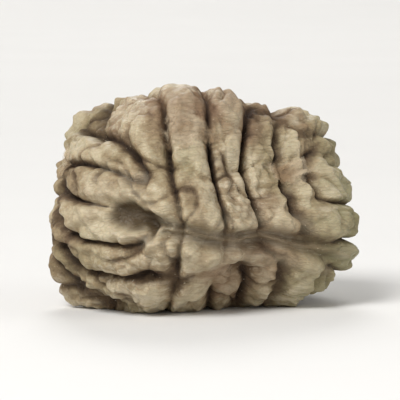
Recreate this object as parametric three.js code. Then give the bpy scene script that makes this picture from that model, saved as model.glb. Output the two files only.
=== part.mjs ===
// One dried cardamom seed, lying on its side. Millimetres, +Z up.
// The origin is on the surface that it rests on, under the middle of its box. +X runs lengthways, away from
// the hilum, the scar by which the seed grew. The seed channel, or raphe, runs along the -Y side.
//
// The outline is a rounded many-sided body, because seeds press each other flat inside the pod. Each
// direction from the middle meets it once, so the whole skin is one radius for each direction, and the relief
// is added to it.
import * as THREE from "three";
import { mergeVertices } from "three/addons/utils/BufferGeometryUtils.js";

// Faces of the body: the direction that each looks, its distance from the middle, how far it sinks there.
const FACES = [
  { name: "far end", looks: [1.0, 0.05, 0.05], away: 1.97, sunk: 0.05 },
  { name: "far end, below", looks: [0.8, -0.1, -0.6], away: 1.62, sunk: 0.04 },
  { name: "far end, back", looks: [0.72, 0.52, 0.3], away: 1.68, sunk: 0.05 },
  { name: "far end, front", looks: [0.66, -0.62, 0.35], away: 1.58, sunk: 0.05 },
  { name: "hilum end", looks: [-1.0, -0.15, 0.02], away: 1.91, sunk: 0 },
  { name: "hilum end, above", looks: [-0.62, 0.1, 0.78], away: 1.7, sunk: 0.03 },
  { name: "hilum end, back", looks: [-0.66, 0.68, 0.1], away: 1.6, sunk: 0.05 },
  { name: "hilum end, below", looks: [-0.7, -0.15, -0.7], away: 1.66, sunk: 0.02 },
  { name: "hilum end, front", looks: [-0.8, -0.6, 0.05], away: 1.72, sunk: 0 },
  { name: "top", looks: [0.17, 0.12, 1.0], away: 1.27, sunk: 0.06 },
  { name: "underside", looks: [-0.02, 0, -1.0], away: 1.15, sunk: 0 },
  { name: "back, upper", looks: [0.05, 0.93, 0.35], away: 1.28, sunk: 0.06 },
  { name: "back, lower", looks: [-0.05, 0.72, -0.69], away: 1.2, sunk: 0.03 },
  { name: "front, upper", looks: [0.06, -0.88, 0.47], away: 1.22, sunk: 0.08 },
  { name: "front, lower", looks: [0.02, -0.76, -0.66], away: 1.24, sunk: 0.05 },
  { name: "front", looks: [0.03, -1.0, -0.12], away: 1.3, sunk: 0 },
];
const EDGE_SHARPNESS = 9.5; // higher gives harder edges between the faces
const SUNK_SPREAD = 0.42; // radians across which a face sinks
const FOOT_BELOW_MIDDLE = 1.02; // the flat spot that the seed lies on
const FOOT = { from: 0.72, to: 0.95, fade: 0.62 }; // how the furrows fade as a direction leans down

// Fields of waves. Each field is a sum of cosines whose directions lie within tilt degrees of X, or of Z for
// END_FOLDS, whose furrows run level.
const LUMPS = { count: 18, length: 1.6, tilt: 90, draw: 77 };
const FOLDS = { count: 22, length: 0.98, tilt: 38, draw: 12 }; // a furrow runs wherever this field is zero
const END_FOLDS = { count: 22, length: 0.76, tilt: 38, draw: 57 };
const HOLLOWS = { count: 26, length: 0.56, tilt: 30, draw: 4711 }; // wide hollows between the folds
const FOLD_VARIETY = { count: 14, length: 1.5, tilt: 90, draw: 61 }; // where the furrows are deeper
const RAGGED = { count: 12, length: 0.55, tilt: 90, draw: 31 }; // how ragged the hilum's edge is

const LUMP_HEIGHT = 0.045;
const FURROW_DEPTH = 0.15;
const FURROW_WIDTH = 0.45; // in units of the fold field
const FURROW_POWER = 1.6; // higher gives rounder furrows
const SHOULDER = { depth: 0.05, width: 0.95 }; // how the folds round off towards their furrows
const FURROW_SHARE = { mean: 0.85, variety: 0.28 };
const HOLLOW_SHARE = 0.22;
const HOLLOW_FULL = 1.3; // where in its field a hollow is at its deepest
const END_FROM = 0.55; // how far a direction leans to X where the end folds begin
const END_TO = 0.86;

const HILUM = {
  looks: [-0.85, -0.52, 0.1],
  leads: [1, -0.35, -0.35], // the way from it to the raphe, along which it is stretched
  radius: 0.15,
  stretch: 1.7,
  raggedness: 0.16,
  depth: 0.24,
  rim: { height: 0.03, out: 0.24, width: 0.075 },
  unfurrowed: 0.19, // no furrow runs nearer than this
};
const RAPHE = {
  halfWidth: 0.13,
  depth: 0.2,
  lip: { height: 0.035, out: 0.26, width: 0.104 },
  starts: { from: -1.55, to: -1.05 }, // along X
  ends: { from: 0.8, to: 1.5 },
  lane: { middle: -10, drift: -12, sway: 4, rate: 2.1 }, // degrees round X, and how they change along X
  furrowShare: 0.4, // how much of a furrow crosses the channel
};

const CELLS_A_SIDE = 30; // cells of the skin along each side of its six square patches

const smooth = (low, high, value) => THREE.MathUtils.smoothstep(value, low, high);
const bell = (value) => Math.exp(-value * value);

// A fixed row of draws between 0 and 1, the same on every run.
function draws(start) {
  let state = start;
  return () => (state = (state * 16807) % 2147483647) / 2147483647;
}

// A field of waves with a mean square of 1.
function waveField({ count, length, tilt, draw }) {
  const next = draws(draw);
  const waves = Array.from({ length: count }, () => {
    const lean = THREE.MathUtils.degToRad(tilt) * Math.sqrt(next());
    const turn = 2 * Math.PI * next();
    const rate = (2 * Math.PI) / (length * (0.85 + 0.3 * next()));
    const aside = Math.sin(lean);
    const way = new THREE.Vector3(Math.cos(lean), aside * Math.cos(turn), aside * Math.sin(turn));
    return { way: way.multiplyScalar(rate), phase: 2 * Math.PI * next() };
  });
  const scale = Math.sqrt(2 / count);
  return (point) => scale * waves.reduce((sum, w) => sum + Math.cos(w.way.dot(point) + w.phase), 0);
}

const faces = FACES.map((face) => ({ ...face, look: new THREE.Vector3(...face.looks).normalize() }));
const hilumLook = new THREE.Vector3(...HILUM.looks).normalize();
const hilumAcross = hilumLook.clone().cross(new THREE.Vector3(...HILUM.leads)).normalize();
const hilumAlong = hilumAcross.clone().cross(hilumLook);
const lumps = waveField(LUMPS);
const folds = waveField(FOLDS);
const endFolds = waveField(END_FOLDS);
const hollows = waveField(HOLLOWS);
const foldVariety = waveField(FOLD_VARIETY);
const ragged = waveField(RAGGED);

// The body's radius towards a direction: flat faces run together by a power sum, each sunk a little.
function bodyRadius(towards) {
  const sum = faces.reduce((s, f) => s + (Math.max(towards.dot(f.look), 0) / f.away) ** EDGE_SHARPNESS, 0);
  const flat = sum ** (-1 / EDGE_SHARPNESS);
  return faces.reduce((r, f) => r - f.sunk * bell(towards.angleTo(f.look) / SUNK_SPREAD), flat);
}
const hilumRadius = bodyRadius(hilumLook);

// The hilum: a small ragged pit with a low rim, longer along than across.
function hilum(towards, point) {
  const turn = Math.atan2(towards.dot(hilumAcross), towards.dot(hilumAlong));
  const oval = Math.hypot(Math.cos(turn) / HILUM.stretch, Math.sin(turn));
  const out = towards.angleTo(hilumLook) * hilumRadius * oval * (1 + HILUM.raggedness * ragged(point));
  const pit = Math.exp(-((out / HILUM.radius) ** 3));
  const rim = bell((out - HILUM.rim.out) / HILUM.rim.width);
  const still = Math.exp(-((out / HILUM.unfurrowed) ** 4));
  return { height: HILUM.rim.height * rim - HILUM.depth * pit, still };
}

// The raphe: one lengthways channel with low lips, which leaves the hilum and sinks towards the far end.
function raphe(point) {
  const around = THREE.MathUtils.radToDeg(Math.atan2(point.z, -point.y)); // 0 looks along -Y, 90 looks up
  const { middle, drift, sway, rate } = RAPHE.lane;
  const lane = middle + drift * point.x + sway * Math.sin(rate * point.x);
  const side = THREE.MathUtils.degToRad(around - lane) * Math.hypot(point.y, point.z);
  const starts = smooth(RAPHE.starts.from, RAPHE.starts.to, point.x);
  const ends = smooth(RAPHE.ends.from, RAPHE.ends.to, point.x);
  const there = point.y < 0 ? starts * (1 - ends) : 0;
  const channel = there * bell(side / RAPHE.halfWidth);
  const lip = there * bell((Math.abs(side) - RAPHE.lip.out) / RAPHE.lip.width);
  return { height: RAPHE.lip.height * lip - RAPHE.depth * channel, channel };
}

// How far the folds' furrows, hollows and shoulders sink the skin at a point.
function furrow(towards, point) {
  const atEnd = smooth(END_FROM, END_TO, Math.abs(towards.x));
  const ends = endFolds(new THREE.Vector3(point.z, point.x, point.y)); // Z takes the place of X
  const fold = THREE.MathUtils.lerp(folds(point), ends, atEnd);
  const wide = THREE.MathUtils.lerp(hollows(point), ends, atEnd);
  const share = FURROW_SHARE.mean + FURROW_SHARE.variety * foldVariety(point);
  const cut = Math.exp(-((Math.abs(fold) / FURROW_WIDTH) ** FURROW_POWER));
  const deep = share * cut + HOLLOW_SHARE * smooth(0, HOLLOW_FULL, wide);
  return FURROW_DEPTH * deep + SHOULDER.depth * bell(fold / SHOULDER.width);
}

// The skin's point towards a direction, and its relief there. It stops at the flat spot's plane.
function skinPoint(towards) {
  const smoothRadius = bodyRadius(towards);
  const radius = smoothRadius + LUMP_HEIGHT * lumps(towards.clone().multiplyScalar(smoothRadius));
  const point = towards.clone().multiplyScalar(radius);
  const scar = hilum(towards, point);
  const seam = raphe(point);
  const resting = FOOT.fade * smooth(FOOT.from, FOOT.to, -towards.z);
  const crossing = 1 - (1 - RAPHE.furrowShare) * seam.channel;
  const calm = (1 - scar.still) * crossing * (1 - resting);
  const relief = seam.height + scar.height - furrow(towards, point) * calm;
  point.copy(towards).multiplyScalar(radius + relief);
  if (point.z < -FOOT_BELOW_MIDDLE) {
    point.multiplyScalar(-FOOT_BELOW_MIDDLE / point.z);
    point.z = -FOOT_BELOW_MIDDLE;
  }
  return { point, relief };
}

// Cuts each cell along the diagonal whose ends lie at the more equal depth, so the cuts follow the furrows.
function cutAlongFurrows(cells, reliefs) {
  for (let i = 0; i < cells.length; i += 6) {
    const [a, b, d, , c] = cells.slice(i, i + 6);
    const evener = Math.abs(reliefs[a] - reliefs[c]) < Math.abs(reliefs[b] - reliefs[d]);
    if (evener) cells.set([a, b, c, a, c, d], i);
  }
}

// A cube of cells, spread evenly over a ball, whose points are moved out to the skin. The tangent makes the
// cells alike in size. The box's middle is then set over the origin.
function seedGeometry() {
  const cube = new THREE.BoxGeometry(2, 2, 2, CELLS_A_SIDE, CELLS_A_SIDE, CELLS_A_SIDE);
  cube.deleteAttribute("normal");
  cube.deleteAttribute("uv");
  const skin = mergeVertices(cube, 1e-5);
  const at = skin.getAttribute("position");
  const reliefs = [];
  for (let i = 0; i < at.count; i++) {
    const spread = [at.getX(i), at.getY(i), at.getZ(i)].map((side) => Math.tan((side * Math.PI) / 4));
    const { point, relief } = skinPoint(new THREE.Vector3(...spread).normalize());
    at.setXYZ(i, point.x, point.y, point.z + FOOT_BELOW_MIDDLE);
    reliefs.push(relief);
  }
  cutAlongFurrows(skin.getIndex().array, reliefs);
  skin.computeBoundingBox();
  const middle = skin.boundingBox.getCenter(new THREE.Vector3());
  skin.translate(-middle.x, -middle.y, 0);
  skin.computeVertexNormals();
  return skin;
}

const husk = new THREE.MeshStandardMaterial({ color: 0x7a5f46, roughness: 0.72, metalness: 0 });

const seed = new THREE.Mesh(seedGeometry(), husk);
seed.name = "cardamom_seed";

const part = new THREE.Group();
part.add(seed);

export default part;
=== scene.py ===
import math

import bpy
import numpy as np
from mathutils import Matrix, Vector


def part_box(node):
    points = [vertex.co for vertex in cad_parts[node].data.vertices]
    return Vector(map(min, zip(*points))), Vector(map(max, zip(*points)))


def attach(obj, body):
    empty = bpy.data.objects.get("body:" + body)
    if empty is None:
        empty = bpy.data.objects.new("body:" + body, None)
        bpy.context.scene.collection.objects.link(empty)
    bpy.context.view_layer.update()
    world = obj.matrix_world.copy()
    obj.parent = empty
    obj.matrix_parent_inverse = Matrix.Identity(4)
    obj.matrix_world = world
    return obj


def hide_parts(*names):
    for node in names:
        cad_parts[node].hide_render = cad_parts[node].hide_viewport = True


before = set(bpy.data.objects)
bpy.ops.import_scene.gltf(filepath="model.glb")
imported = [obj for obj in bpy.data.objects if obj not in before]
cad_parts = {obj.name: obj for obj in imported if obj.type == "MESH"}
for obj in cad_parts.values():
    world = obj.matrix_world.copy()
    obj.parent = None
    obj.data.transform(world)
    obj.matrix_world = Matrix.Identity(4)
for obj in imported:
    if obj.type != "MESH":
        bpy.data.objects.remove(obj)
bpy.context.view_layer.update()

# One dried cardamom seed on a pale floor.
# Shapes are worked out in millimetres and made in metres. +X leads away from the hilum end.
metresPerMm = 0.001
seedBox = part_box("cardamom_seed")

# Camera
cameraSetup = {
    "azimuth": -27.0,       # degrees, 0 looks along +Y
    "elevation": 6.0,
    "distance": 42.0,       # mm
    "lens": 345.0,
    "target": (0.0, 0.0, 1.16),
    "nearest": 0.001,       # metres
    "furthest": 2.0,
}


def lookFrom(azimuth, elevation):
    # the unit direction from the target to a camera at these angles
    turn = math.radians(azimuth)
    rise = math.radians(elevation)
    return Vector((math.sin(turn) * math.cos(rise), -math.cos(turn) * math.cos(rise), math.sin(rise)))


def placeCamera(setup):
    data = bpy.data.cameras.new("camera")
    data.lens = setup["lens"]
    data.clip_start = setup["nearest"]
    data.clip_end = setup["furthest"]
    camera = bpy.data.objects.new("camera", data)
    bpy.context.scene.collection.objects.link(camera)
    away = lookFrom(setup["azimuth"], setup["elevation"])
    camera.location = (Vector(setup["target"]) + away * setup["distance"]) * metresPerMm
    camera.rotation_euler = (-away).to_track_quat("-Z", "Y").to_euler()
    bpy.context.scene.camera = camera


placeCamera(cameraSetup)
print("camera placed")

# The seed's form: the part's own faces and wave fields, with narrower furrows and finer relief
seedForm = {
    "faces": [  # direction that each looks, distance from the middle, how far its middle has sunk
        ((1.0, 0.05, 0.05), 1.97, 0.05),      # far end
        ((0.8, -0.1, -0.6), 1.62, 0.04),      # far end, below
        ((0.72, 0.52, 0.3), 1.68, 0.05),      # far end, back
        ((0.66, -0.62, 0.35), 1.58, 0.05),    # far end, front
        ((-1.0, -0.15, 0.02), 1.91, 0.0),     # hilum end
        ((-0.62, 0.1, 0.78), 1.7, 0.03),      # hilum end, above
        ((-0.66, 0.68, 0.1), 1.6, 0.05),      # hilum end, back
        ((-0.7, -0.15, -0.7), 1.66, 0.02),    # hilum end, below
        ((-0.8, -0.6, 0.05), 1.72, 0.0),      # hilum end, front
        ((0.17, 0.12, 1.0), 1.27, 0.06),      # top
        ((-0.02, 0.0, -1.0), 1.15, 0.0),      # underside
        ((0.05, 0.93, 0.35), 1.28, 0.06),     # back, upper
        ((-0.05, 0.72, -0.69), 1.2, 0.03),    # back, lower
        ((0.06, -0.88, 0.47), 1.22, 0.08),    # front, upper
        ((0.02, -0.76, -0.66), 1.24, 0.05),   # front, lower
        ((0.03, -1.0, -0.12), 1.3, 0.0),      # front
    ],
    "edgeSharpness": 9.5,     # higher gives harder edges between the faces
    "sunkSpread": 0.42,       # radians
    "footBelowMiddle": 1.02,  # the flat spot that the seed lies on
    "foot": {"from": 0.72, "to": 0.95, "fade": 0.62},   # the furrows fade as a direction leans down
    # wave fields: count, wavelength in mm, degrees they lean from X, or from Z for endFolds, and draw
    "lumps": (18, 1.6, 90, 77),
    "folds": (22, 0.98, 38, 12),
    "endFolds": (22, 0.76, 38, 57),
    "hollows": (26, 0.56, 30, 4711),
    "foldVariety": (14, 1.5, 90, 61),
    "ragged": (12, 0.55, 90, 31),
    "finelyRagged": (12, 0.22, 90, 32),
    "lumpHeight": 0.045,
    "furrowDepth": 0.15,
    "furrowWidth": 0.36,      # in units of the fold field
    "furrowPower": 1.2,       # higher gives rounder furrows
    "furrowShare": {"mean": 0.85, "variety": 0.28},
    "hollowShare": 0.22,
    "hollowFull": 1.3,        # where in its field a hollow is at its deepest
    "shoulder": {"depth": 0.05, "width": 0.95},
    "endFrom": 0.55,          # how far a direction leans to X where the end folds begin
    "endTo": 0.86,
    "hilum": {
        "looks": (-0.85, -0.52, 0.1),
        "leads": (1.0, -0.35, -0.35),   # the way from it to the raphe
        "radius": 0.15,
        "stretch": 1.7,
        "raggedness": 0.22,
        "fineRaggedness": 0.12,
        "mostDrawnIn": 0.4,   # the pit's edge comes in by no more than this share
        "depth": 0.24,
        "steepness": 3,
        "rim": {"height": 0.03, "out": 0.24, "width": 0.075},
        "unfurrowed": 0.19,   # no furrow runs nearer than this
        "unfurrowedPower": 4,
    },
    "raphe": {
        "halfWidth": 0.12,
        "depth": 0.21,
        "steepness": 3.4,     # higher gives steeper walls
        "lip": {"height": 0.035, "out": 0.24, "width": 0.09},
        "starts": (-1.55, -1.05),
        "ends": (0.8, 1.5),
        # degrees round X, how they drift and sway along X, and radians a mm
        "lane": {"middle": -10, "drift": -12, "sway": 4, "rate": 2.1},
        "furrowShare": 0.4,   # how much of a furrow crosses the channel
    },
    # finer relief, on the skin alone
    "puckers": {  # small folds round the hilum
        "count": 9,
        "twist": 2.2,
        "height": 0.028,
        "out": 0.3,
        "width": 0.2,
    },
    "tail": {  # the bent groove that leads from the hilum pit to the channel
        "from": 0.0,
        "to": 0.5,
        "fade": 0.14,
        "halfWidth": 0.066,
        "bend": 0.75,
        "depth": 0.17,
    },
    "strand": {"halfWidth": 0.046, "height": 0.052, "sway": 0.022, "rate": 7.0},   # lies in the channel
    "knobs": {  # small furrows that part the folds into knobs
        "field": (26, 0.62, 90, 208),
        "variety": (14, 1.1, 90, 83),
        "stretch": (1, 1, 1),
        "from": -1.1,
        "to": 0.9,
        "width": 0.3,
        "power": 1.2,
        "depth": 0.055,
        # how much these furrows darken the coat through the furrow mark, partly painted shade
        "shade": 0.35,
    },
    "creases": {  # fine creases that run lengthways over the folds
        "field": (26, 0.3, 90, 515),
        "variety": (14, 0.9, 90, 347),
        "stretch": (0.5, 1, 1),
        "from": -1.6,
        "to": 0.6,
        "width": 0.26,
        "power": 1,
        "depth": 0.032,
        # how much these creases darken the coat through the furrow mark, partly painted shade
        "shade": 0.16,
    },
    "tubercles": {"field": (30, 0.27, 90, 991), "height": 0.016, "least": 0.4},
    "grain": {"field": (40, 0.11, 90, 5), "height": 0.008},
    "quadsASide": 127,        # quads along each side of the six patches
    "roughQuadsASide": 40,    # the same while the seed's place is found
}
waveDraws = {"times": 16807, "wrap": 2147483647}   # a fixed row of draws, the same on every run
waveLengths = {"least": 0.85, "spread": 0.3}       # each wave's length, in lengths of its field
sharedDecimals = 9                                 # to which points that two patches share agree


def smooth(low, high, value):
    # 0 below low, 1 above high, an even S curve between
    share = np.clip((value - low) / (high - low), 0, 1)
    return share * share * (3 - 2 * share)


def bell(value, power=2):
    # 1 at zero, falling away on both sides as exp(-|value| ^ power)
    return np.exp(-np.abs(value) ** power)


def unit(vector):
    given = np.array(vector, float)
    return given / np.linalg.norm(given)


def angleBetween(directions, look):
    return np.arccos(np.clip(directions @ unit(look), -1, 1))


def fieldAt(points, field):
    # A sum of cosines with a mean square of 1. Each wave takes four draws: how far it leans from X, its
    # turn about X, its rate and its phase.
    count, length, tilt, state = field
    drawn = []
    for _ in range(4 * count):
        state = state * waveDraws["times"] % waveDraws["wrap"]
        drawn.append(state / waveDraws["wrap"])
    lean, turn, rate, phase = np.array(drawn).reshape(count, 4).T
    lean = math.radians(tilt) * np.sqrt(lean)
    turn = 2 * math.pi * turn
    rate = 2 * math.pi / (length * (waveLengths["least"] + waveLengths["spread"] * rate))
    ways = rate * np.array([np.cos(lean), np.sin(lean) * np.cos(turn), np.sin(lean) * np.sin(turn)])
    return math.sqrt(2 / count) * np.cos(points @ ways + 2 * math.pi * phase).sum(axis=1)


def bodyRadius(towards, form):
    # radius = (sum over the faces of (cosine / distance) ^ sharpness) ^ (-1 / sharpness), less a bell
    # round the middle of each face that has sunk
    power = form["edgeSharpness"]
    total = np.zeros(len(towards))
    for looks, away, _ in form["faces"]:
        total += (np.maximum(towards @ unit(looks), 0) / away) ** power
    radius = total ** (-1 / power)
    for looks, _, sunk in form["faces"]:
        radius -= sunk * bell(angleBetween(towards, looks) / form["sunkSpread"])
    return radius


def hilumParts(towards, points, form):
    # along and across = distances from the hilum's middle, towards the channel and square to that;
    # out = their length, with along shortened, made ragged. The pit and rim are bells of out, the
    # puckers are waves round it, and the groove is a bent tail that leads from the pit to the channel.
    hilum, tail, puckers = form["hilum"], form["tail"], form["puckers"]
    look = unit(hilum["looks"])
    lead = unit(np.cross(unit(np.cross(look, hilum["leads"])), look))
    apart = angleBetween(towards, look) * bodyRadius(look[None], form)[0]
    turn = np.arctan2(towards @ np.cross(look, lead), towards @ lead)
    along, across = apart * np.cos(turn), apart * np.sin(turn)
    ragged = fieldAt(points, form["ragged"])
    unevenness = hilum["raggedness"] * ragged
    unevenness += hilum["fineRaggedness"] * fieldAt(points, form["finelyRagged"])
    unevenness = np.maximum(unevenness, -hilum["mostDrawnIn"])
    out = np.hypot(along / hilum["stretch"], across) * (1 + unevenness)
    pit = bell(out / hilum["radius"], hilum["steepness"])
    rim = bell((out - hilum["rim"]["out"]) / hilum["rim"]["width"])
    still = bell(out / hilum["unfurrowed"], hilum["unfurrowedPower"])
    pucker = np.sin(puckers["count"] * turn + puckers["twist"] * ragged)
    pucker = pucker * bell((out - puckers["out"]) / puckers["width"])
    bent = np.abs(across + tail["bend"] * along ** 2) * (1 + unevenness)
    groove = smooth(tail["from"], tail["from"] + tail["fade"], along)
    groove = groove * (1 - smooth(tail["to"] - tail["fade"], tail["to"], along))
    groove = groove * bell(bent / tail["halfWidth"])
    return pit, rim, pucker, still, groove


def rapheParts(points, form):
    # side = distance round the body from a lane that drifts down the front; the channel, its lips and
    # the strand that lies in it are bells of side
    raphe, lane, strand = form["raphe"], form["raphe"]["lane"], form["strand"]
    x, y, z = points.T
    around = np.degrees(np.arctan2(z, -y))
    middle = lane["middle"] + lane["drift"] * x + lane["sway"] * np.sin(lane["rate"] * x)
    side = np.radians(around - middle) * np.hypot(y, z)
    there = np.where(y < 0, smooth(*raphe["starts"], x) * (1 - smooth(*raphe["ends"], x)), 0)
    channel = there * bell(side / raphe["halfWidth"], raphe["steepness"])
    lip = there * bell((np.abs(side) - raphe["lip"]["out"]) / raphe["lip"]["width"])
    swayed = side - strand["sway"] * np.sin(strand["rate"] * x)
    return channel, lip, there * bell(swayed / strand["halfWidth"])


def furrowParts(towards, points, form):
    # a furrow runs wherever the fold field is zero, and the folds' shoulders sink towards it as a wide
    # bell; hollows lie between; at the ends another field takes over
    atEnd = smooth(form["endFrom"], form["endTo"], np.abs(towards[:, 0]))
    ends = fieldAt(points[:, [2, 0, 1]], form["endFolds"])   # Z takes the place of X, so they run level
    fold = fieldAt(points, form["folds"]) * (1 - atEnd) + ends * atEnd
    wide = fieldAt(points, form["hollows"]) * (1 - atEnd) + ends * atEnd
    share = form["furrowShare"]
    depth = share["mean"] + share["variety"] * fieldAt(points, form["foldVariety"])
    cut = bell(fold / form["furrowWidth"], form["furrowPower"])
    shoulder = bell(fold / form["shoulder"]["width"])
    return depth * cut + form["hollowShare"] * smooth(0, form["hollowFull"], wide), shoulder


def fineFurrows(points, kind):
    # furrows wherever the kind's own field is zero, deeper in some places than in others
    cut = bell(fieldAt(points * kind["stretch"], kind["field"]) / kind["width"], kind["power"])
    return cut * smooth(kind["from"], kind["to"], fieldAt(points, kind["variety"]))


def seedSkin(towards, form, fine=True):
    # the body's radius plus lumps, furrows, channel, hilum and fine relief, cut off at the flat spot
    smoothRadius = bodyRadius(towards, form)
    radius = smoothRadius + form["lumpHeight"] * fieldAt(towards * smoothRadius[:, None], form["lumps"])
    points = towards * radius[:, None]
    pit, rim, pucker, still, groove = hilumParts(towards, points, form)
    channel, lip, strand = rapheParts(points, form)
    calm = (1 - still) * (1 - (1 - form["raphe"]["furrowShare"]) * channel)
    calm *= 1 - form["foot"]["fade"] * smooth(form["foot"]["from"], form["foot"]["to"], -towards[:, 2])
    furrow, shoulder = furrowParts(towards, points, form)
    furrow *= calm
    relief = form["raphe"]["lip"]["height"] * lip - form["raphe"]["depth"] * channel
    relief += form["hilum"]["rim"]["height"] * rim - form["hilum"]["depth"] * pit
    relief -= form["furrowDepth"] * furrow + form["shoulder"]["depth"] * shoulder * calm
    if fine:
        knobs, creases = form["knobs"], form["creases"]
        knob = fineFurrows(points, knobs) * calm
        crease = fineFurrows(points, creases) * calm
        # the fine furrows darken the coat too, through the furrow mark: partly painted shade
        furrow = furrow + knobs["shade"] * knob + creases["shade"] * crease
        relief -= creases["depth"] * crease
        relief += form["puckers"]["height"] * pucker - knobs["depth"] * knob
        relief -= form["tail"]["depth"] * groove * (1 - pit)
        relief += form["strand"]["height"] * strand * (1 - pit)
        tubercles, grain = form["tubercles"], form["grain"]
        bumpy = tubercles["least"] + (1 - tubercles["least"]) * calm
        relief += tubercles["height"] * fieldAt(points, tubercles["field"]) * bumpy
        relief += grain["height"] * fieldAt(points, grain["field"]) * calm
    points = towards * (radius + relief)[:, None]
    low = points[:, 2] < -form["footBelowMiddle"]
    points[low] *= (-form["footBelowMiddle"] / points[low, 2])[:, None]
    # marks for the coat, which darkens with furrow, channel and pit (pit and groove together), partly as
    # painted shade
    marks = {"furrow": furrow, "channel": channel, "lip": lip, "strand": strand, "rim": rim}
    marks["pit"] = np.maximum(pit, groove)
    return points, marks


def sixPatches(count):
    # Directions and quads of a ball made of six square patches: each is (1, tan a, tan b) turned to one
    # axis, with a and b running from -45 to 45 degrees. Points that patches share are merged.
    steps = np.tan(np.linspace(-math.pi / 4, math.pi / 4, count + 1))
    a, b = np.meshgrid(steps, steps)
    one = np.ones_like(a)
    sides = [(one, a, b), (-one, -a, b), (-a, one, b), (a, -one, b), (-b, a, one), (b, a, -one)]
    points = np.concatenate([np.stack([axis.ravel() for axis in side], axis=1) for side in sides])
    column, row = np.meshgrid(np.arange(count), np.arange(count))
    corner = (row * (count + 1) + column).ravel()
    quad = np.stack([corner, corner + 1, corner + count + 2, corner + count + 1], axis=1)
    quads = np.concatenate([quad + side * (count + 1) ** 2 for side in range(len(sides))])
    rounded = np.round(points, sharedDecimals)
    _, first, merged = np.unique(rounded, axis=0, return_index=True, return_inverse=True)
    points = points[first]
    return points / np.linalg.norm(points, axis=1)[:, None], merged.reshape(-1)[quads]


def spokeQuads(spokes, width):
    # quads between neighbouring spokes of width points each, the last spoke joined to the first
    step, spoke = np.meshgrid(np.arange(width - 1), np.arange(spokes))
    here = (spoke * width + step).ravel()
    after = ((spoke + 1) % spokes * width + step).ravel()
    return np.stack([here, here + 1, after + 1, after], axis=1)


def meshPiece(name, points, faces, marks=None):
    # points in millimetres, and marks saved as one number a point
    mesh = bpy.data.meshes.new(name)
    mesh.from_pydata((points * metresPerMm).tolist(), [], faces)
    mesh.update()
    mesh.polygons.foreach_set("use_smooth", np.ones(len(faces), bool))
    for mark, values in (marks or {}).items():
        attribute = mesh.attributes.new(mark, "FLOAT", "POINT")
        attribute.data.foreach_set("value", values.astype(np.float32))
    piece = bpy.data.objects.new(name, mesh)
    bpy.context.scene.collection.objects.link(piece)
    return piece


def seedShift(form):
    # what moves the body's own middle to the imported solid's place: the middles of the boxes matched in
    # X and Y, and the flat spot on the floor
    rough, _ = sixPatches(form["roughQuadsASide"])
    points, _ = seedSkin(rough, form, fine=False)
    middle = (points.min(axis=0) + points.max(axis=0)) / 2
    low, high = np.array(seedBox[0]) / metresPerMm, np.array(seedBox[1]) / metresPerMm
    want = (low + high) / 2
    return np.array([want[0] - middle[0], want[1] - middle[1], low[2] + form["footBelowMiddle"]])


shift = seedShift(seedForm)
ball, ballQuads = sixPatches(seedForm["quadsASide"])
skinPoints, skinMarks = seedSkin(ball, seedForm)
seedSkinPiece = meshPiece("seed_skin", skinPoints + shift, ballQuads.tolist(), skinMarks)
print("seed skin made:", len(ballQuads), "quads")

# Seed coat finish
coatLook = {
    # crest, fold, slope and furrow run from pale to dark with the relief's depth; the darkest two are
    # partly painted shade in the furrows
    "furrow": (0.03, 0.0165, 0.009),
    "slope": (0.115, 0.075, 0.041),
    "fold": (0.312, 0.236, 0.138),
    "crest": (0.495, 0.418, 0.281),
    "reddish": (0.17, 0.075, 0.045),
    # dark brown of the hilum pit and its groove, partly painted shade in the hollow
    "pit": (0.055, 0.033, 0.013),
    "olive": (0.236, 0.226, 0.112),
    "film": (0.6, 0.52, 0.38),
    # noises: scale a mm, detail, roughness, stretch, move
    "blotches": (1.9, 4, 0.6, (1, 1, 1), (3, 1, 7)),
    "mottle": (9, 4, 0.65, (1, 1, 1), (1, 5, 2)),
    "redPatches": (0.75, 2, 0.5, (1, 1, 1), (11, 4, 2)),
    "olivePatches": (0.85, 2, 0.5, (1, 1, 1), (2, 14, 8)),
    "fibres": (16, 4, 0.6, (0.14, 1, 1), (0, 3, 9)),
    "filmPatches": (1.3, 3, 0.55, (1, 1, 1), (6, 2, 4)),
    "specks": (30, 2, 0.5, (1, 1, 1), (5, 5, 1)),
    "grit": (60, 3, 0.6, (1, 1, 1), (0, 0, 0)),
    "noiseMiddle": 0.5,
    "blotchReach": 0.6,                   # how far each noise moves the tone's depth
    "mottleReach": 0.7,
    "farOliveLooks": (0.95, 0.0, -0.3),   # the olive deepens this way
    "farOliveBlotch": 1.7,
    # ramps: from, to, then the value at each end
    "crestToFold": (0.0, 0.3),
    "foldToSlope": (0.23, 0.55),
    # this last step lays painted shade into the furrows, over the coat's own darker brown
    "slopeToFurrowShade": (0.46, 0.92),
    "redShare": (0.52, 0.68, 0.0, 0.45),
    "oliveShare": (0.5, 0.68, 0.0, 0.32),
    "farOlive": (0.1, 1.2, 0.0, 0.74),
    "tintOnFolds": (0.25, 0.75, 1.0, 0.15),
    "filmWhere": (0.46, 0.62),
    "filmFibre": (0.42, 0.62),
    "filmOnFolds": (0.55, 0.15, 0.0, 0.7),
    # darkens the hilum pit and its groove: partly their own dark brown, partly painted shade
    "pitShare": (0.25, 0.85, 0.0, 0.92),
    "speckShare": (0.7, 0.76, 0.0, 0.5),
    "cellWall": (0.0, 0.16),
    "cellShade": (0.0, 1.0, 0.12, 0.0),
    "dullness": (0.0, 0.7, 0.47, 0.84),
    # shares of a colour laid over the rest
    # darkens the raphe channel: painted shade in the groove, partly its own darker brown
    "channelPaintedShade": 0.62,
    "strandShade": 0.34,
    "lipShine": 0.3,
    "rimShine": 0.32,
    "cellsAMm": 27.0,
    "cellStretch": (0.2, 1, 1),
    "filmGloss": -0.22,                   # what the film adds to the roughness
    "ior": 1.45,
    "specular": 0.38,
    "under": {"weight": 0.12, "radius": (0.9, 0.5, 0.28), "depth": 0.15},   # light in the coat, mm
    "bump": {"strength": 0.7, "depth": 0.016, "fibres": 0.9, "cells": 0.35, "grit": 0.35},
}


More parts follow.
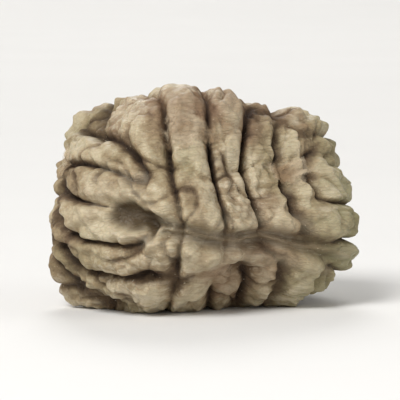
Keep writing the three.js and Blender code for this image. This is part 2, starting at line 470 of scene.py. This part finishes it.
class MaterialTree:
    # short calls for building one material's node tree
    def __init__(self, name):
        self.material = bpy.data.materials.new(name)
        self.material.use_nodes = True
        self.nodeTree = self.material.node_tree
        self.shader = self.nodeTree.nodes["Principled BSDF"]

    def add(self, kind, settings=None, **inputs):
        node = self.nodeTree.nodes.new(kind)
        for key, value in (settings or {}).items():
            setattr(node, key, value)
        for key, value in inputs.items():
            self.set(node.inputs[key], value)
        return node

    def set(self, socket, value):
        if isinstance(value, bpy.types.NodeSocket):
            self.nodeTree.links.new(value, socket)
        elif socket.type == "RGBA":
            socket.default_value = (*value, 1)
        else:
            socket.default_value = value

    def mark(self, name):
        return self.add("ShaderNodeAttribute", {"attribute_name": name}).outputs["Fac"]

    def millimetres(self, stretch=(1, 1, 1), move=(0, 0, 0)):
        # Object coordinates in millimetres, stretched and moved
        place = self.add("ShaderNodeTexCoord").outputs["Object"]
        mapping = self.add("ShaderNodeMapping", Vector=place)
        mapping.inputs["Scale"].default_value = [share / metresPerMm for share in stretch]
        mapping.inputs["Location"].default_value = move
        return mapping.outputs["Vector"]

    def distanceAlong(self, direction):
        # how far a point lies in this direction from the origin, in millimetres
        node = self.add("ShaderNodeVectorMath", {"operation": "DOT_PRODUCT"})
        self.set(node.inputs[0], self.millimetres())
        node.inputs[1].default_value = direction
        return node.outputs["Value"]

    def noise(self, scale, detail, roughness, stretch=(1, 1, 1), move=(0, 0, 0)):
        node = self.add("ShaderNodeTexNoise", Scale=scale, Detail=detail, Roughness=roughness)
        self.set(node.inputs["Vector"], self.millimetres(stretch, move))
        return node.outputs["Fac"]

    def ramp(self, value, low, high, start=0.0, end=1.0):
        # an even S curve from start, where the value is low, to end, where it is high
        node = self.add("ShaderNodeMapRange", {"interpolation_type": "SMOOTHSTEP"})
        for socket, given in zip(node.inputs, (value, low, high, start, end)):
            self.set(socket, given)
        return node.outputs["Result"]

    def reckon(self, operation, first, second=0.0, third=0.0):
        node = self.add("ShaderNodeMath", {"operation": operation})
        for socket, value in zip(node.inputs, (first, second, third)):
            self.set(socket, value)
        return node.outputs["Value"]

    def mix(self, share, first, second):
        # a mix of two colours; the node's colour sockets come after those for numbers and vectors
        node = self.add("ShaderNodeMix", {"data_type": "RGBA"})
        for place, value in ((0, share), (6, first), (7, second)):
            self.set(node.inputs[place], value)
        return node.outputs[2]

    def bump(self, height, strength, depth):
        # depth in millimetres
        node = self.add("ShaderNodeBump", Strength=strength, Distance=depth * metresPerMm, Height=height)
        self.set(self.shader.inputs["Normal"], node.outputs["Normal"])

    def gloss(self, look):
        self.shader.inputs["IOR"].default_value = look["ior"]
        self.shader.inputs["Specular IOR Level"].default_value = look["specular"]


def seedCoat(look):
    tree = MaterialTree("seed_coat")
    furrow, channel, strand = tree.mark("furrow"), tree.mark("channel"), tree.mark("strand")
    pit, rim, lip = tree.mark("pit"), tree.mark("rim"), tree.mark("lip")

    # tone from the depth of the relief, broken up by two noises: darker down into the furrows, partly the
    # coat's own darker brown and partly painted shade
    blotch = tree.reckon("SUBTRACT", tree.noise(*look["blotches"]), look["noiseMiddle"])
    mottle = tree.reckon("SUBTRACT", tree.noise(*look["mottle"]), look["noiseMiddle"])
    depth = tree.reckon("MULTIPLY_ADD", mottle, look["mottleReach"], furrow)
    depth = tree.reckon("MULTIPLY_ADD", blotch, look["blotchReach"], depth)
    colour = tree.mix(tree.ramp(depth, *look["crestToFold"]), look["crest"], look["fold"])
    colour = tree.mix(tree.ramp(depth, *look["foldToSlope"]), colour, look["slope"])
    colour = tree.mix(tree.ramp(depth, *look["slopeToFurrowShade"]), colour, look["furrow"])

    # reddish and olive stretches, and more olive low down at the far end
    upOnFolds = tree.ramp(depth, *look["tintOnFolds"])
    red = tree.ramp(tree.noise(*look["redPatches"]), *look["redShare"])
    colour = tree.mix(tree.reckon("MULTIPLY", red, upOnFolds), colour, look["reddish"])
    olive = tree.ramp(tree.noise(*look["olivePatches"]), *look["oliveShare"])
    distance = tree.distanceAlong(look["farOliveLooks"])
    far = tree.reckon("MULTIPLY_ADD", blotch, look["farOliveBlotch"], distance)
    olive = tree.reckon("MAXIMUM", olive, tree.ramp(far, *look["farOlive"]))
    colour = tree.mix(tree.reckon("MULTIPLY", olive, upOnFolds), colour, look["olive"])

    # fibres of the seed's thin film, drawn out lengthways
    fibre = tree.noise(*look["fibres"])
    patches = tree.ramp(tree.noise(*look["filmPatches"]), *look["filmWhere"])
    film = tree.reckon("MULTIPLY", patches, tree.ramp(fibre, *look["filmFibre"]))
    film = tree.reckon("MULTIPLY", film, tree.ramp(furrow, *look["filmOnFolds"]))
    colour = tree.mix(film, colour, look["film"])

    # channel with its strand and lips, hilum pit and its rim: the channel and the pit are darkened partly
    # with painted shade over their own darker brown, and the lips get a painted highlight
    colour = tree.mix(tree.reckon("MULTIPLY", channel, look["channelPaintedShade"]), colour, look["furrow"])
    colour = tree.mix(tree.reckon("MULTIPLY", strand, look["strandShade"]), colour, look["fold"])
    colour = tree.mix(tree.reckon("MULTIPLY", lip, look["lipShine"]), colour, look["crest"])
    colour = tree.mix(tree.reckon("MULTIPLY", rim, look["rimShine"]), colour, look["film"])
    # the pit's dark colour is partly painted shade in the hollow
    colour = tree.mix(tree.ramp(pit, *look["pitShare"]), colour, look["pit"])

    # cells and specks
    cells = tree.add("ShaderNodeTexVoronoi", {"feature": "DISTANCE_TO_EDGE"}, Scale=look["cellsAMm"])
    tree.set(cells.inputs["Vector"], tree.millimetres(look["cellStretch"]))
    wall = tree.ramp(cells.outputs["Distance"], *look["cellWall"])
    colour = tree.mix(tree.ramp(wall, *look["cellShade"]), colour, look["slope"])
    colour = tree.mix(tree.ramp(tree.noise(*look["specks"]), *look["speckShare"]), colour, look["film"])

    dull = tree.ramp(furrow, *look["dullness"])
    tree.set(tree.shader.inputs["Base Color"], colour)
    tree.set(tree.shader.inputs["Roughness"], tree.reckon("MULTIPLY_ADD", film, look["filmGloss"], dull))
    tree.gloss(look)
    tree.shader.inputs["Subsurface Weight"].default_value = look["under"]["weight"]
    tree.shader.inputs["Subsurface Radius"].default_value = look["under"]["radius"]
    tree.shader.inputs["Subsurface Scale"].default_value = look["under"]["depth"] * metresPerMm

    bump = look["bump"]
    height = tree.reckon("MULTIPLY", fibre, bump["fibres"])
    height = tree.reckon("MULTIPLY_ADD", wall, bump["cells"], height)
    height = tree.reckon("MULTIPLY_ADD", tree.noise(*look["grit"]), bump["grit"], height)
    tree.bump(height, bump["strength"], bump["depth"])
    return tree.material


seedSkinPiece.data.materials.append(seedCoat(coatLook))
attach(seedSkinPiece, "root")
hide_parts("cardamom_seed")
print("seed coat finished")

# Film scraps: torn bits of the thin papery film that once wrapped the seed, clinging to the folds
filmForm = {
    "scraps": [  # direction of the middle, size in mm, stretch along X, draw
        ((-0.44, -0.62, 0.72), 0.3, 1.5, 5),
        ((0.5, -0.75, 0.42), 0.22, 1.5, 23),
        ((-0.95, 0.1, 0.35), 0.24, 1.3, 43),
        ((0.2, 0.4, 0.9), 0.25, 1.6, 57),
        ((0.5, 0.85, 0.1), 0.26, 1.5, 61),
    ],
    "rings": 24,
    "spokes": 96,
    "lobes": [(3, 0.16), (5, 0.1), (9, 0.04)],   # waves round the edge, and how far each moves it
    "clearance": 0.006,
    "spanned": 0.45,          # share of their depth left to the furrows that the film spans
    "curl": {"height": 0.035, "power": 4, "mean": 0.45, "sway": 0.55},   # height in sizes of the scrap
    "crinkles": (30, 0.16, 90, 402),
    "crinkleHeight": 0.005,
    "thickness": 0.004,
}


def discFaces(spokes, rings):
    # quads between neighbouring spokes, and triangles from the middle, point 0, to the first ring
    first = 1 + np.arange(spokes) * rings
    hub = np.stack([np.zeros_like(first), first, np.roll(first, -1)], axis=1)
    return (1 + spokeQuads(spokes, rings)).tolist() + hub.tolist()


def filmScrap(look, size, stretch, draw, form):
    # share and turn give a ragged oval round the middle. It lies on the higher of the skin and a skin
    # with shallower furrows, which it spans. Its edge curls up with a power of share, at two places.
    turns = np.arange(form["spokes"]) * 2 * math.pi / form["spokes"]
    share, turn = np.meshgrid(np.linspace(0, 1, form["rings"] + 1)[1:], turns)
    share, turn = share.ravel(), turn.ravel()
    lobes = sum(far * np.sin(count * turn + draw * count) for count, far in form["lobes"])
    reach = size * share * (1 + lobes)
    middle = unit(look)
    along = unit(np.array([1.0, 0, 0]) - middle[0] * middle)
    across = np.cross(middle, along)
    flat = middle * bodyRadius(middle[None], seedForm)[0]
    spots = flat + np.outer(reach * np.cos(turn) * stretch, along)
    spots = spots + np.outer(reach * np.sin(turn), across)
    spots = np.concatenate([flat[None], spots])
    share = np.concatenate([[0], share])
    turn = np.concatenate([[0], turn])
    towards = spots / np.linalg.norm(spots, axis=1)[:, None]
    shallow = {**seedForm, "furrowDepth": seedForm["furrowDepth"] * form["spanned"]}
    skin = np.linalg.norm(seedSkin(towards, seedForm)[0], axis=1)
    span = np.linalg.norm(seedSkin(towards, shallow, fine=False)[0], axis=1)
    curl = form["curl"]["mean"] + form["curl"]["sway"] * np.sin(2 * turn + draw)
    radius = np.maximum(skin, span) + form["clearance"]
    radius += size * form["curl"]["height"] * np.maximum(curl, 0) * share ** form["curl"]["power"]
    radius += form["crinkleHeight"] * np.maximum(fieldAt(spots, form["crinkles"]), 0)
    return towards * radius[:, None], share


def filmPiece(form):
    points, shares, faces, count = [], [], [], 0
    scrapFaces = discFaces(form["spokes"], form["rings"])
    for look, size, stretch, draw in form["scraps"]:
        spots, share = filmScrap(look, size, stretch, draw, form)
        faces += [[corner + count for corner in face] for face in scrapFaces]
        points.append(spots + shift)
        shares.append(share)
        count += len(spots)
    piece = meshPiece("aril_film", np.concatenate(points), faces, {"edge": np.concatenate(shares)})
    wall = piece.modifiers.new("thickness", "SOLIDIFY")
    wall.thickness = form["thickness"] * metresPerMm
    wall.offset = 1     # outwards
    return piece


filmLook = {
    "pale": (0.6, 0.49, 0.34),
    "stained": (0.34, 0.23, 0.13),
    # noises: scale a mm, detail, roughness, stretch, move
    "fibres": (16, 4, 0.6, (0.2, 1, 1), (7, 3, 1)),
    "stains": (3.5, 3, 0.55, (1, 1, 1), (1, 8, 3)),
    "tears": (9, 4, 0.65, (0.6, 1, 1), (4, 4, 2)),
    "tearReach": 0.9,
    # ramps: from, to, then the value at each end
    "stainedShare": (0.4, 0.65),
    "whole": (0.9, 1.2, 1.0, 0.0),       # how much is left, from the middle out to the torn edge
    "seeThrough": (0.34, 0.66, 0.06, 0.5),
    "dullness": (0.35, 0.65, 0.5, 0.7),
    "ior": 1.45,
    "specular": 0.25,
    "bump": {"strength": 0.6, "depth": 0.01},
}


def filmFinish(look):
    # papery, thin enough to let the coat through between its fibres, and torn away towards its edge
    tree = MaterialTree("aril_film")
    fibre = tree.noise(*look["fibres"])
    stain = tree.ramp(tree.noise(*look["stains"]), *look["stainedShare"])
    torn = tree.reckon("MULTIPLY_ADD", tree.noise(*look["tears"]), look["tearReach"], tree.mark("edge"))
    left = tree.reckon("MULTIPLY", tree.ramp(torn, *look["whole"]), tree.ramp(fibre, *look["seeThrough"]))
    tree.set(tree.shader.inputs["Base Color"], tree.mix(stain, look["pale"], look["stained"]))
    tree.set(tree.shader.inputs["Alpha"], left)
    tree.set(tree.shader.inputs["Roughness"], tree.ramp(fibre, *look["dullness"]))
    tree.gloss(look)
    tree.bump(fibre, look["bump"]["strength"], look["bump"]["depth"])
    return tree.material


film = filmPiece(filmForm)
film.data.materials.append(filmFinish(filmLook))
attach(film, "root")
print("film scraps made:", len(filmForm["scraps"]))

# Floor: a shallow pale dish, level under the seed, that rises far behind it on every side
floorForm = {
    "levelRadius": 55.0,   # mm
    "wallRadius": 160.0,
    "wallHeight": 150.0,
    "rings": 60,
    "spokes": 96,
    "colour": (0.80, 0.79, 0.77),
    "darkest": 0.965,      # of the colour
    "tint": (0.35, 3, 0.5),
    "roughness": 0.85,
}


def dishFloor(form):
    # height = wallHeight times the square of the share of the way from the level part to the wall
    turns = np.arange(form["spokes"]) * 2 * math.pi / form["spokes"]
    radius, turn = np.meshgrid(np.linspace(0, form["wallRadius"], form["rings"] + 1), turns)
    radius, turn = radius.ravel(), turn.ravel()
    rise = np.clip((radius - form["levelRadius"]) / (form["wallRadius"] - form["levelRadius"]), 0, 1)
    height = form["wallHeight"] * rise ** 2
    points = np.stack([radius * np.cos(turn), radius * np.sin(turn), height], axis=1)
    return meshPiece("floor", points, spokeQuads(form["spokes"], form["rings"] + 1).tolist())


def floorPaper(form):
    tree = MaterialTree("floor_paper")
    darker = tuple(form["darkest"] * channel for channel in form["colour"])
    tree.set(tree.shader.inputs["Base Color"], tree.mix(tree.noise(*form["tint"]), form["colour"], darker))
    tree.shader.inputs["Roughness"].default_value = form["roughness"]
    return tree.material


floor = dishFloor(floorForm)
floor.data.materials.append(floorPaper(floorForm))
print("floor made")

# Soft studio light
lights = [  # name, place in mm, size in mm, watts
    ("key", (-50.0, -32.0, 60.0), 34.0, 0.066),
    ("fill", (55.0, -45.0, 35.0), 45.0, 0.009),
    ("rim", (25.0, 60.0, 55.0), 34.0, 0.024),
]
worldLight = {"Color": (1.0, 0.99, 0.975, 1.0), "Strength": 0.28}


def placeLight(name, place, size, watts):
    data = bpy.data.lights.new(name, "AREA")
    data.size = size * metresPerMm
    data.energy = watts
    lamp = bpy.data.objects.new(name, data)
    bpy.context.scene.collection.objects.link(lamp)
    lamp.location = Vector(place) * metresPerMm
    away = Vector(place) - Vector(cameraSetup["target"])
    lamp.rotation_euler = away.to_track_quat("Z", "Y").to_euler()


def placeWorld(light):
    world = bpy.data.worlds.new("studio")
    world.use_nodes = True
    for socket, value in light.items():
        world.node_tree.nodes["Background"].inputs[socket].default_value = value
    bpy.context.scene.world = world


for light in lights:
    placeLight(*light)
placeWorld(worldLight)
bpy.context.scene.view_settings.view_transform = "Standard"
print("lights placed")
